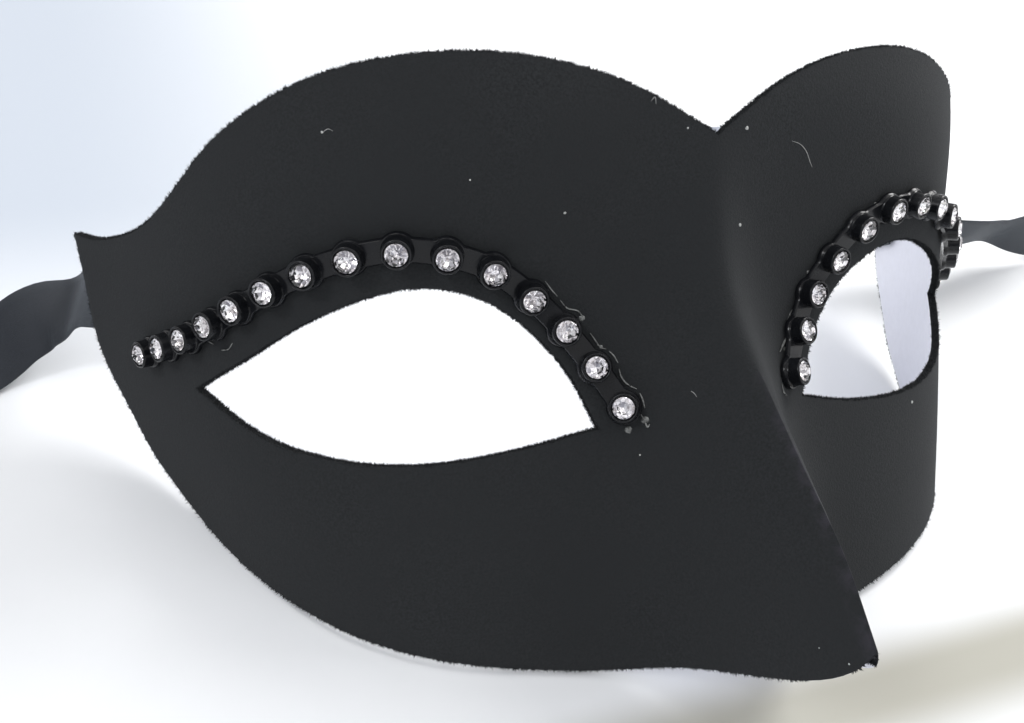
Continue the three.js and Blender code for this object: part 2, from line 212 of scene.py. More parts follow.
# Rows of facets as (how many, first azimuth, slope, radius that the row touches).
CROWN_ROWS = ((8, 0.0, 34.0, 1.66), (16, 11.25, 41.0, 1.655))
STAR_ROW = (8, 22.5, 20.0, 0.98)
PAVILION_ROWS = ((8, 0.0, 38.0, 1.66), (16, 11.25, 41.5, 1.65))

# Places in the photograph, in its pixels.
GLUE_THREADS_RIGHT = (
    ((560, 300), (567, 308), (578, 311), (584, 319)),
    ((590, 333), (595, 340), (600, 347), (606, 349)),
    ((609, 351), (614, 356), (618, 363)),
    ((619, 369), (621, 376), (627, 384), (637, 389)),
    ((640, 393), (643, 400), (645, 408)),
    ((545, 281), (551, 289), (557, 296)),
    ((609, 384), (611, 391), (613, 396)),
    ((641, 414), (645, 421), (648, 427), (650, 424)),
    ((196, 344), (205, 340), (214, 344)),
    ((222, 350), (229, 349), (233, 343)),
)
GLUE_BLOBS_RIGHT = ((582, 318, 0.5), (645, 420, 0.6), (628, 430, 0.6), (601, 347, 0.35))
GLUE_THREADS_LEFT = (
    ((779, 352), (783, 343), (786, 337)),
    ((785, 327), (789, 315), (796, 304)),
    ((802, 292), (806, 282), (812, 276)),
    ((823, 258), (829, 246), (838, 239)),
    ((781, 384), (783, 392), (786, 396)),
)
GLUE_BLOBS_LEFT = ((785, 349, 0.5), (808, 272, 0.35), (875, 204, 0.4))
SPECKS = (
    (565, 213, 0.22),
    (322, 132, 0.2),
    (747, 128, 0.3),
    (688, 128, 0.16),
    (740, 225, 0.3),
    (912, 402, 0.3),
    (819, 648, 0.1),
    (849, 664, 0.14),
    (640, 455, 0.14),
    (470, 180, 0.14),
)
LINT_FIBRES = (
    ((792, 141), (800, 144), (806, 151), (810, 162), (812, 167)),
    ((651, 101), (655, 97), (656, 104)),
    ((691, 391), (694, 393), (697, 397)),
    ((322, 133), (328, 129), (333, 131)),
)
WORN_SPOTS = (
    ((785, 685), (789, 684.5), (793, 686)),
    ((795, 687.5), (798, 688)),
    ((821, 689), (824, 689)),
)
NOTCH_FILM = ((708, 127), (721, 127), (715, 134))
SHELL_BELOW_FILM = 3  # pixels from the film down to the edge that it hangs on
FILM_THICK = 0.00015

# Radii of the threads, in millimetres, and their form.
GLUE_RADII = (0.12, 0.17)
LINT_RADIUS = 0.045
WORN_RADIUS = 0.16
THREAD_SIDES = 5
THREAD_STEPS = 5
THREAD_END = 0.45  # radius at both ends, as a share
THREAD_LIFT = 0.9
# Drops of glue and specks of lint.
BLOB_RINGS = 4
BLOB_SIDES = 9
BLOB_UNEVEN = (0.8, 1.2)
BLOB_SINK = 0.15
BLOB_TOP = 0.9
SEEDS = {"fringe": 7, "stones": 21, "glue": 3, "lint": 11}


def deselect():
    if bpy.context.object and bpy.context.object.mode != "OBJECT":
        bpy.ops.object.mode_set(mode="OBJECT")
    bpy.ops.object.select_all(action="DESELECT")


def activate(piece):
    deselect()
    piece.select_set(True)
    bpy.context.view_layer.objects.active = piece


def mesh_piece(name, vertices, faces):
    mesh = bpy.data.meshes.new(name)
    mesh.from_pydata([tuple(v) for v in vertices], [], faces)
    mesh.update()
    piece = bpy.data.objects.new(name, mesh)
    bpy.context.scene.collection.objects.link(piece)
    return piece


def shade_smooth(piece, degrees):
    activate(piece)
    bpy.ops.object.shade_smooth_by_angle(angle=math.radians(degrees))


def face_outwards(piece):
    activate(piece)
    bpy.ops.object.mode_set(mode="EDIT")
    bpy.ops.mesh.select_all(action="SELECT")
    bpy.ops.mesh.normals_make_consistent(inside=False)
    bpy.ops.object.mode_set(mode="OBJECT")


def swept_faces(first, rows, sides):
    """Faces of a tube whose rows of points start at first, with both ends closed."""
    faces = []
    for i in range(rows - 1):
        a, b = first + i * sides, first + (i + 1) * sides
        for k in range(sides):
            n = (k + 1) % sides
            faces.append((a + k, a + n, b + n, b + k))
    end = first + (rows - 1) * sides
    faces.append(tuple(first + k for k in reversed(range(sides))))
    faces.append(tuple(end + k for k in range(sides)))
    return faces


def apply_modifier(piece, kind, name, **values):
    activate(piece)
    modifier = piece.modifiers.new(name, kind)
    for key, value in values.items():
        setattr(modifier, key, value)
    bpy.ops.object.modifier_apply(modifier=name)


def dress(piece, material, nodes=()):
    piece.data.materials.clear()
    piece.data.materials.append(material)
    settle(piece, nodes)


def settle(piece, nodes=()):
    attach(piece, "root")
    if nodes:
        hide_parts(*nodes)


def spline(points, per_span, even=False):
    """A smooth curve through points; its spacing is centripetal unless even."""
    rows = np.asarray(points, float)
    ends = (2 * rows[:1] - rows[1:2], 2 * rows[-1:] - rows[-2:-1])
    padded = np.vstack((ends[0], rows, ends[1]))
    out = []
    for i in range(len(rows) - 1):
        a, b, c, d = padded[i : i + 4]
        if even:
            start, finish = (c - a) / 2, (d - b) / 2
        else:
            t0, t1, t2 = (
                max(np.linalg.norm(p - q), 1e-6) ** 0.5 for p, q in ((a, b), (b, c), (c, d))
            )
            start = t1 * ((b - a) / t0 - (c - a) / (t0 + t1) + (c - b) / t1)
            finish = t1 * ((c - b) / t1 - (d - b) / (t1 + t2) + (d - c) / t2)
        for k in range(per_span):
            w = k / per_span
            out.append(
                b
                + start * w
                + (3 * (c - b) - 2 * start - finish) * w**2
                + (2 * (b - c) + start + finish) * w**3
            )
    out.append(rows[-1])
    return np.array(out)


def lengths_along(points):
    steps = np.linalg.norm(np.diff(points, axis=0), axis=1)
    return np.concatenate(([0.0], np.cumsum(steps)))


def at_spacing(rows, spacing):
    """Rows of a route, placed again at an even spacing along it."""
    along = lengths_along(rows[:, :3])
    places = np.linspace(0, along[-1], max(2, int(round(along[-1] / spacing)) + 1))
    return np.column_stack([np.interp(places, along, column) for column in rows.T])


def view_ray(pixel):
    across = (pixel[0] - FRAME_PIXELS[0] / 2) / FOCAL_PIXELS
    down = (pixel[1] - FRAME_PIXELS[1] / 2) / FOCAL_PIXELS
    forward = CAMERA_RIGHT.cross(CAMERA_DOWN)
    return (forward + CAMERA_RIGHT * across + CAMERA_DOWN * down).normalized()


def tree_of(piece):
    mesh = piece.data
    return BVHTree.FromPolygons(
        [v.co.copy() for v in mesh.vertices], [tuple(p.vertices) for p in mesh.polygons]
    )


def on_surface(tree, pixel):
    """Where the surface shows at a pixel, with its normal, or where it is nearest."""
    ray = view_ray(pixel)
    place, normal, _, _ = tree.ray_cast(CAMERA_AT, ray)
    if place is None:
        place, normal, _, _ = tree.find_nearest(CAMERA_AT + ray * MISSED_DEPTH)
    return place, normal


def new_group(name, inputs, outputs):
    group = bpy.data.node_groups.new(name, "ShaderNodeTree")
    for label, kind, value in inputs:
        socket = group.interface.new_socket(label, in_out="INPUT", socket_type=kind)
        socket.default_value = value
    for label, kind in outputs:
        group.interface.new_socket(label, in_out="OUTPUT", socket_type=kind)
    return group


def add(tree, kind, values=None, links=None, **settings):
    """Adds a node, sets its plain settings and sockets, and links its inputs."""
    node = tree.nodes.new(kind)
    for key, value in settings.items():
        setattr(node, key, value)
    for key, value in (values or {}).items():
        node.inputs[key].default_value = value
    for key, source in (links or {}).items():
        tree.links.new(source, node.inputs[key])
    return node


def grain_group():
    """Noise on object coordinates, as a value round 0.5 and as a contrasty mask."""
    group = bpy.data.node_groups.get("fine_grain")
    if group:
        return group
    group = new_group(
        "fine_grain",
        (
            ("Scale", "NodeSocketFloat", 800.0),
            ("Low", "NodeSocketFloat", 0.4),
            ("High", "NodeSocketFloat", 0.6),
        ),
        (("Grain", "NodeSocketFloat"), ("Mask", "NodeSocketFloat")),
    )
    inside = add(group, "NodeGroupInput")
    place = add(group, "ShaderNodeTexCoord")
    noise = add(
        group,
        "ShaderNodeTexNoise",
        {"Detail": 5.0, "Roughness": 0.6},
        {"Vector": place.outputs["Object"], "Scale": inside.outputs["Scale"]},
    )
    mask = add(
        group,
        "ShaderNodeMapRange",
        links={
            "Value": noise.outputs["Fac"],
            "From Min": inside.outputs["Low"],
            "From Max": inside.outputs["High"],
        },
    )
    add(
        group,
        "NodeGroupOutput",
        links={"Grain": noise.outputs["Fac"], "Mask": mask.outputs["Result"]},
    )
    return group


def new_material(name, plain):
    material = bpy.data.materials.new(name)
    material.use_nodes = True
    shader = material.node_tree.nodes["Principled BSDF"]
    for key, value in plain.items():
        shader.inputs[key].default_value = value
    return material, material.node_tree, shader


def placed_grain(tree, scale, low=0.4, high=0.6):
    values = {"Scale": scale, "Low": low, "High": high}
    return add(tree, "ShaderNodeGroup", values, node_tree=grain_group())


def mixed(tree, factor, first, second):
    node = tree.nodes.new("ShaderNodeMix")
    node.data_type = "RGBA"
    for label, value in (("Factor", factor), ("A", first), ("B", second)):
        sockets = [s for s in node.inputs if s.name == label and s.enabled]
        if isinstance(value, bpy.types.NodeSocket):
            tree.links.new(value, sockets[0])
        else:
            sockets[0].default_value = value
    return [s for s in node.outputs if s.enabled][0]


def shade_of(colour, *factors):
    """The colour times one factor, or times one for each channel, with alpha 1."""
    shares = factors if len(factors) == 3 else factors * 3
    return [min(1.0, c * share) for c, share in zip(colour, shares)] + [1.0]


def ramp(tree, value, start, finish, interpolation="SMOOTHSTEP"):
    """0 where the value is at its start and 1 where it is at its finish."""
    node = add(
        tree,
        "ShaderNodeMapRange",
        {"From Min": start, "From Max": finish},
        {"Value": value},
        interpolation_type=interpolation,
    )
    return node.outputs["Result"]


def product(tree, *values):
    result = values[0]
    for value in values[1:]:
        node = add(tree, "ShaderNodeMath", links={0: result, 1: value}, operation="MULTIPLY")
        result = node.outputs[0]
    return result


def bumped(tree, shader, height, strength, distance):
    node = add(
        tree,
        "ShaderNodeBump",
        {"Strength": strength, "Distance": distance},
        {"Height": height},
    )
    tree.links.new(node.outputs["Normal"], shader.inputs["Normal"])


def flock_material(colour):
    """Short dense flock, a little lighter where it is rubbed along the nose."""
    material = bpy.data.materials.get("black_flock")
    if material:
        return material
    material, tree, shader = new_material(
        "black_flock",
        {
            "Roughness": 1.0,
            "Specular IOR Level": 0.1,
            "Sheen Weight": 0.05,
            "Sheen Roughness": 0.6,
            "Sheen Tint": (0.95, 0.97, 1.0, 1.0),
        },
    )
    fibres = placed_grain(tree, scale=2600.0, low=0.35, high=0.65)
    clouds = placed_grain(tree, scale=60.0, low=0.3, high=0.7)
    deep, light = (shade_of(colour, share) for share in FLOCK_SHADES)
    base = mixed(tree, fibres.outputs["Mask"], deep, light)
    patched = mixed(tree, clouds.outputs["Mask"], base, shade_of(colour, 1.0))
    place = add(tree, "ShaderNodeTexCoord")
    apart = add(tree, "ShaderNodeSeparateXYZ", links={"Vector": place.outputs["Object"]})
    away = add(
        tree, "ShaderNodeMath", links={0: apart.outputs["X"]}, operation="ABSOLUTE"
    )
    crest = ramp(tree, away.outputs[0], *CREST_REACH, "LINEAR")
    low = ramp(tree, apart.outputs["Y"], *CREST_START, "LINEAR")
    patchy = placed_grain(tree, scale=420.0, low=0.42, high=0.62)
    wear = product(tree, crest, low, patchy.outputs["Mask"])
    worn = mixed(tree, wear, patched, FLOCK_WORN)
    tree.links.new(worn, shader.inputs["Base Color"])
    bumped(tree, shader, fibres.outputs["Grain"], strength=0.5, distance=0.0002)
    return material


def strip_material():
    """Glossy moulded plastic with a few dull smears."""
    material, tree, shader = new_material(
        "black_strip_plastic",
        {"Base Color": STRIP_PLASTIC, "Specular IOR Level": 0.28},
    )
    smears = placed_grain(tree, scale=260.0, low=0.45, high=0.7)
    rough = add(
        tree,
        "ShaderNodeMapRange",
        {"To Min": 0.16, "To Max": 0.34},
        {"Value": smears.outputs["Mask"]},
    )
    colour = mixed(tree, smears.outputs["Mask"], STRIP_PLASTIC, STRIP_SMEAR)
    tree.links.new(rough.outputs[0], shader.inputs["Roughness"])
    tree.links.new(colour, shader.inputs["Base Color"])
    fine = placed_grain(tree, scale=900.0)
    bumped(tree, shader, fine.outputs["Grain"], strength=0.08, distance=0.0001)
    return material


def crystal_materials():
    """Clear cut glass for the crown, and the silvered back that it shows."""
    clear, tree, shader = new_material(
        "clear_crystal",
        {"Base Color": (1, 1, 1, 1), "Roughness": 0.0, "IOR": 1.55, "Transmission Weight": 1.0},
    )
    faint = placed_grain(tree, scale=1500.0)
    bumped(tree, shader, faint.outputs["Grain"], strength=0.01, distance=0.00002)
    silvered, tree, shader = new_material(
        "silvered_back",
        {"Base Color": (0.9, 0.9, 0.92, 1.0), "Metallic": 1.0, "Roughness": 0.03},
    )
    tarnish = placed_grain(tree, scale=700.0, low=0.45, high=0.65)
    colour = mixed(tree, tarnish.outputs["Mask"], (0.97, 0.96, 0.98, 1), (0.5, 0.47, 0.47, 1))
    tree.links.new(colour, shader.inputs["Base Color"])
    return clear, silvered


def satin_group():
    """Fine floats of a satin weave on the ribbon's own map, as height and shade."""
    group = new_group(
        "satin_weave",
        (("Threads per cm", "NodeSocketFloat", 34.0),),
        (("Height", "NodeSocketFloat"), ("Shade", "NodeSocketFloat")),
    )
    inside = add(group, "NodeGroupInput")
    place = add(group, "ShaderNodeUVMap", uv_map="weave")
    turned = add(
        group,
        "ShaderNodeMapping",
        {"Rotation": (0.0, 0.0, math.radians(WEAVE_TURN))},
        {"Vector": place.outputs["UV"]},
    )
    floats = add(
        group,
        "ShaderNodeTexWave",
        {"Distortion": 0.6, "Detail": 1.0},
        {"Vector": turned.outputs["Vector"], "Scale": inside.outputs["Threads per cm"]},
        wave_type="BANDS",
        bands_direction="X",
    )
    slubs = add(
        group,
        "ShaderNodeTexNoise",
        {"Scale": 26.0, "Detail": 4.0},
        {"Vector": turned.outputs["Vector"]},
    )
    height = add(
        group,
        "ShaderNodeMath",
        {1: 0.6},
        {0: floats.outputs["Fac"], 2: slubs.outputs["Fac"]},
        operation="MULTIPLY_ADD",
    )
    add(
        group,
        "NodeGroupOutput",
        links={"Height": height.outputs[0], "Shade": slubs.outputs["Fac"]},
    )
    return group


def satin_material(colour):
    material, tree, shader = new_material(
        "black_satin",
        {
            "Roughness": 0.46,
            "Specular IOR Level": 0.45,
            "Anisotropic": 0.5,
            "Sheen Weight": 0.26,
            "Sheen Roughness": 0.35,
            "Sheen Tint": (0.8, 0.9, 1.0, 1.0),
        },
    )
    weave = add(tree, "ShaderNodeGroup", node_tree=satin_group())
    dark, light = (shade_of(colour, share) for share in SATIN_SHADES)
    shade = mixed(tree, weave.outputs["Shade"], dark, light)
    tree.links.new(shade, shader.inputs["Base Color"])
    bumped(tree, shader, weave.outputs["Height"], strength=0.6, distance=0.0001)
    return material


def plain_grained(name, colour, roughness, scale, spread, specular=0.5):
    """A finish with a little fine variation of colour and a soft grain."""
    material, tree, shader = new_material(
        name, {"Roughness": roughness, "Specular IOR Level": specular}
    )
    grain = placed_grain(tree, scale, low=0.35, high=0.65)
    dark, light = shade_of(colour, 1 - spread), shade_of(colour, 1 + spread)
    tree.links.new(mixed(tree, grain.outputs["Mask"], dark, light), shader.inputs["Base Color"])
    bumped(tree, shader, grain.outputs["Grain"], strength=0.15, distance=0.0001)
    return material


def floor_material(colour):
    """Pale board with painted shade: cooler and darker towards the far left, where the light
    falls off, and a warm painted shade in front of the mask.
    """
    material, tree, shader = new_material("pale_floor", {"Roughness": 0.7})
    grain = placed_grain(tree, scale=90.0, low=0.35, high=0.65)
    board = mixed(
        tree, grain.outputs["Mask"], shade_of(colour, 0.99), shade_of(colour, 1.0)
    )
    place = add(tree, "ShaderNodeTexCoord")
    apart = add(tree, "ShaderNodeSeparateXYZ", links={"Vector": place.outputs["Object"]})
    x, y = apart.outputs["X"], apart.outputs["Y"]
    # painted shade: a warm darker band on the board in front of the mask
    painted_front_shade = product(
        tree, ramp(tree, y, *PAINTED_FRONT_SHADE_BACK_EDGE), ramp(tree, y, *PAINTED_FRONT_SHADE_FRONT_EDGE), ramp(tree, x, *PAINTED_FRONT_SHADE_SIDE_EDGE)
    )
    board = mixed(tree, painted_front_shade, board, shade_of(colour, *PAINTED_FRONT_SHADE_COLOUR))
    # painted shade: the board cooler and darker towards the far left, where the light falls off
    away = product(tree, ramp(tree, x, *PAINTED_FALLOFF_SIDE), ramp(tree, y, *PAINTED_FALLOFF_BACK))
    board = mixed(tree, away, board, shade_of(colour, *PAINTED_FALLOFF_COLOUR))
    tree.links.new(board, shader.inputs["Base Color"])
    bumped(tree, shader, grain.outputs["Grain"], strength=0.15, distance=0.0001)
    return material


def colour_property(name, description, default):
    return FloatVectorProperty(
        name=name, description=description, default=default, subtype="COLOR", min=0.0, max=1.0
    )


def length_property(name, description, default):
    return FloatProperty(
        name=name, description=description, default=default, subtype="DISTANCE", unit="LENGTH"
    )


class EyeMaskShell(bpy.types.PropertyGroup):
    flock: colour_property(
        "Flock colour", "Colour of the flock coat", (0.0212, 0.0228, 0.0242)
    )
    inside: colour_property(
        "Inside colour", "Colour of the bare plastic inside the mask", (0.7, 0.71, 0.79)
    )
    flock_wrap: length_property(
        "Flock wrap", "How far the flock reaches round the cut edges to the inside", 0.0003
    )
    edge_round: length_property("Edge rounding", "Rounding of the flocked cut edges", 0.00045)
    fibre_length: length_property(
        "Fibre length", "How far loose flock fibres stand out from the cut edges", 0.0007
    )
    fibre_radius: length_property("Fibre radius", "Radius of a flock fibre at its foot", 0.00008)
    fibre_count: IntProperty(
        name="Edge fibres",
        description="Number of flock fibres along the cut edges",
        default=65000,
        min=0,
    )


class EyeMaskStrips(bpy.types.PropertyGroup):
    base_width: length_property("Base width", "Width of the scalloped base at a cup", 0.0055)
    web_width: length_property("Web width", "Width of the base between two cups", 0.0038)
    base_thick: length_property("Base thickness", "Thickness of the scalloped base", 0.0008)


class EyeMaskRibbons(bpy.types.PropertyGroup):
    satin: colour_property(
        "Satin colour", "Colour of both ribbons", (0.0105, 0.0145, 0.022)
    )
    width: length_property("Ribbon width", "Width of both ribbons", 0.015)
    thick: length_property("Ribbon thickness", "Thickness of both ribbons", 0.0004)
    length: length_property(
        "Ribbon length", "Length of each ribbon from the corner to its end", 0.4
    )


class EyeMaskStage(bpy.types.PropertyGroup):
    floor: colour_property(
        "Floor colour", "Colour of the pale floor", (0.86, 0.88, 0.9)
    )
    key_power: FloatProperty(
        name="Key light",
        description="Power of the large soft light above the mask",
        default=9.0,
        unit="POWER",
    )
    sky: FloatProperty(
        name="Room light",
        description="Strength of the light from all round",
        default=1.8,
    )


class EyeMaskSettings(bpy.types.PropertyGroup):
    shell: PointerProperty(type=EyeMaskShell)
    strips: PointerProperty(type=EyeMaskStrips)
    ribbons: PointerProperty(type=EyeMaskRibbons)
    stage: PointerProperty(type=EyeMaskStage)


class EYEMASK_OT_stage(bpy.types.Operator):
    """Add the camera, the pale floor and the soft lights"""

    bl_idname = "eyemask.stage"
    bl_label = "Stage"

    def execute(self, context):
        settings = context.scene.eye_mask.stage
        forward = CAMERA_RIGHT.cross(CAMERA_DOWN)
        turn = Matrix((CAMERA_RIGHT, -CAMERA_DOWN, -forward)).transposed()
        data = bpy.data.cameras.new("photo_camera")
        data.sensor_width = SENSOR_MM
        data.lens = SENSOR_MM * FOCAL_PIXELS / FRAME_PIXELS[0]
        data.clip_start = NEAR_CLIP
        camera = bpy.data.objects.new("photo_camera", data)
        camera.matrix_world = Matrix.Translation(CAMERA_AT) @ turn.to_4x4()
        context.scene.collection.objects.link(camera)
        context.scene.camera = camera
        deselect()
        bpy.ops.mesh.primitive_plane_add(size=FLOOR_SIZE, location=(0.0, 0.0, FLOOR_HEIGHT))
        floor = context.object
        floor.name = "floor"
        floor.data.materials.append(floor_material(settings.floor))
        self.light("key_light", settings.key_power, *KEY_LIGHT)
        self.light("side_light", SIDE_POWER, *SIDE_LIGHT)
        self.room(settings.sky)
        context.scene.view_settings.view_transform = "Standard"
        return {"FINISHED"}

    @staticmethod
    def room(strength):
        """Light from all round: bright patches above and behind, dim towards the viewer."""
        world = bpy.data.worlds.new("room")
        world.use_nodes = True
        tree = world.node_tree
        way = add(tree, "ShaderNodeTexCoord")
        facing = add(
            tree,
            "ShaderNodeVectorMath",
            {1: BRIGHT_WAY},
            {0: way.outputs["Generated"]},
            operation="DOT_PRODUCT",
        )
        share = ramp(tree, facing.outputs["Value"], -0.3, 0.7, "LINEAR")
        base = mixed(tree, share, ROOM_DIM, ROOM_BRIGHT)
        furnished = add(
            tree,
            "ShaderNodeTexNoise",
            {"Scale": 2.6, "Detail": 1.0},
            {"Vector": way.outputs["Generated"]},
        )
        patches = add(
            tree,
            "ShaderNodeMapRange",
            {"From Min": 0.42, "From Max": 0.56, "To Min": 0.12},
            {"Value": furnished.outputs["Fac"]},
        )
        shade = mixed(tree, patches.outputs[0], ROOM_DARK, base)
        light = tree.nodes["Background"]
        tree.links.new(shade, light.inputs["Color"])
        light.inputs["Strength"].default_value = strength
        bpy.context.scene.world = world

    @staticmethod
    def light(name, power, place, size, colour):
        data = bpy.data.lights.new(name, "AREA")
        data.shape = "DISK"
        data.size = size
        data.energy = power
        data.color = colour
        lamp = bpy.data.objects.new(name, data)
        lamp.location = place
        aim = LIGHT_AIM - Vector(place)
        lamp.rotation_euler = aim.to_track_quat("-Z", "Y").to_euler()
        bpy.context.scene.collection.objects.link(lamp)


def ribbon_rows(route, roll, total):
    """Rows of (x, y, z, turn) in metres along a whole ribbon, with its roll."""
    drawn = np.column_stack(
        (
            spline([row[:3] for row in route], ROUTE_STEPS),
            spline([row[3:] for row in route], ROUTE_STEPS, True),
        )
    )
    (cx, cy), radius, winding = roll
    height = route[-1][2]
    lead = np.linspace(drawn[-1], (cx, cy + radius, height, ON_EDGE), LEAD_ROWS)[1:]
    gone = lengths_along(np.vstack((drawn, lead))[:, :3])[-1]
    turns, rows = 0.0, []
    while total / MM - gone > LEAST_STEP:
        step = min(ROLL_STEP, total / MM - gone)
        turns += step / (radius - ROLL_PITCH * turns / math.tau)
        here = radius - ROLL_PITCH * turns / math.tau
        angle = math.pi / 2 + winding * turns
        rows.append((cx + here * math.cos(angle), cy + here * math.sin(angle), height, ON_EDGE))
        gone += step
    whole = np.vstack((drawn, lead, rows))
    whole[:, :3] *= MM
    return at_spacing(whole, RIBBON_SPACING)


class EYEMASK_OT_ribbons(bpy.types.Operator):
    """Lay both satin ribbons, each rolled up on its edge out of sight"""

    bl_idname = "eyemask.ribbons"
    bl_label = "Ribbons"

    def execute(self, context):
        settings = context.scene.eye_mask.ribbons
        satin = satin_material(settings.satin)
        for hand, route, roll in (
            ("right", RIGHT_ROUTE, RIGHT_ROLL),
            ("left", LEFT_ROUTE, LEFT_ROLL),
        ):
            rows = ribbon_rows(route, roll, settings.length)
            piece = self.band(f"satin_ribbon_{hand}", rows, settings)
            nodes = (f"ribbon_{hand}", f"ribbon_roll_{hand}")
            dress(piece, satin, nodes)
        return {"FINISHED"}

    @staticmethod
    def band(name, rows, settings):
        """A band with a rounded edge on each side and a map in centimetres."""
        places = rows[:, :3]
        headings = np.gradient(places, axis=0)
        headings /= np.linalg.norm(headings, axis=1)[:, None]
        level = np.cross(headings, (0.0, 0.0, 1.0))
        level /= np.linalg.norm(level, axis=1)[:, None]
        raised = np.cross(level, headings)
        turn = np.radians(rows[:, 3])[:, None]
        aside = np.cos(turn) * level + np.sin(turn) * raised
        normal = np.cross(headings, aside)
        half, thick = settings.width / 2, settings.thick / 2
        ring = [(*point, 1.0) for point in RIBBON_SECTION]
        ring += [(*point, -1.0) for point in reversed(RIBBON_SECTION)]
        vertices, uvs = [], []
        along = lengths_along(places)
        for i in range(len(rows)):
            for share, swell, side in ring:
                out, up = aside[i] * share * half, normal[i] * side * thick * swell
                vertices.append(places[i] + out + up)
                shift = WEAVE_BACK if side < 0 else 0.0
                uvs.append((along[i] * CM_IN_METRE, share * half * CM_IN_METRE + shift))
        faces = swept_faces(0, len(rows), len(ring))
        piece = mesh_piece(name, vertices, faces)
        layer = piece.data.uv_layers.new(name="weave")
        for loop in piece.data.loops:
            layer.data[loop.index].uv = uvs[loop.vertex_index]
        face_outwards(piece)
        shade_smooth(piece, degrees=50)
        return piece


class EYEMASK_OT_shell(bpy.types.Operator):
    """Smooth the moulded shell and round its flocked cut edges"""

    bl_idname = "eyemask.shell"
    bl_label = "Shell"

    def execute(self, context):
        settings = context.scene.eye_mask.shell
        source = NODES["mask_shell"]
        piece = bpy.data.objects.new("flocked_shell", source.data.copy())
        context.scene.collection.objects.link(piece)
        activate(piece)
        bpy.ops.object.mode_set(mode="EDIT")
        bpy.ops.mesh.select_all(action="SELECT")
        bpy.ops.mesh.remove_doubles(threshold=1e-6)
        bpy.ops.mesh.tris_convert_to_quads(
            face_threshold=math.radians(60), shape_threshold=math.radians(180)
        )
        bpy.ops.object.mode_set(mode="OBJECT")
        self.mark_edges(piece)
        apply_modifier(piece, "SUBSURF", "smooth", levels=2, render_levels=2)
        apply_modifier(
            piece,
            "BEVEL",
            "edge_round",
            width=settings.edge_round,
            segments=3,
            limit_method="ANGLE",
            angle_limit=math.radians(ROUND_ANGLE),
        )
        shade_smooth(piece, degrees=60)
        piece.data.materials.clear()
        piece.data.materials.append(flock_material(settings.flock))
        bare = plain_grained(
            "bare_moulded_plastic", settings.inside, roughness=0.45, scale=500.0, spread=0.02
        )
        piece.data.materials.append(bare)
        self.bare_inside(piece, settings.flock_wrap)
        settle(piece, ("mask_shell",))
        return {"FINISHED"}

    @staticmethod
    def bare_inside(piece, wrap):
        """Leaves the inside bare, apart from the flock that wraps round the edges."""
        mesh = piece.data
        inside = mesh.attributes["inside"].data
        rim = mesh.attributes["rim"].data
        middles = [p.center.copy() for p in mesh.polygons if rim[p.index].value > 0.5]
        edges = KDTree(len(middles))
        for i, middle in enumerate(middles):
            edges.insert(middle, i)
        edges.balance()
        for face in mesh.polygons:
            bare = inside[face.index].value > 0.5 and edges.find(face.center)[2] > wrap
            face.material_index = 1 if bare else 0

    @staticmethod
    def mark_edges(piece):
        """Creases the cut edges, and their corners, so that smoothing keeps them."""
        work = bmesh.new()
        work.from_mesh(piece.data)
        crease = work.edges.layers.float.new("crease_edge")
        corner = work.verts.layers.float.new("crease_vert")
        rim = work.faces.layers.float.new("rim")
        inside = work.faces.layers.float.new("inside")
        sharp = set()
        for edge in work.edges:
            if len(edge.link_faces) == 2 and edge.calc_face_angle() > math.radians(CUT_ANGLE):
                edge[crease] = 1.0
                sharp.add(edge)
        for face in work.faces:
            if sum(edge in sharp for edge in face.edges) >= 2:
                face[rim] = 1.0
        for vertex in work.verts:
            ways = [e.other_vert(vertex).co - vertex.co for e in vertex.link_edges if e in sharp]
            limit = CENTRE_CORNER_ANGLE if abs(vertex.co.x) < MM else CORNER_ANGLE
            if len(ways) == 2 and ways[0].angle(ways[1]) < math.radians(limit):
                vertex[corner] = 1.0
        seen = set()
        for start in work.faces:
            if start in seen or start[rim]:
                continue
            skin, edge_of_skin = {start}, [start]
            while edge_of_skin:
                face = edge_of_skin.pop()
                for edge in face.edges:
                    for other in edge.link_faces if edge not in sharp else ():
                        if other not in skin:
                            skin.add(other)
                            edge_of_skin.append(other)
            seen |= skin
            facing = sum(f.normal.dot(MASK_FRONT) * f.calc_area() for f in skin)
            for face in skin if facing < 0 else ():
                face[inside] = 1.0
        work.to_mesh(piece.data)
        work.free()


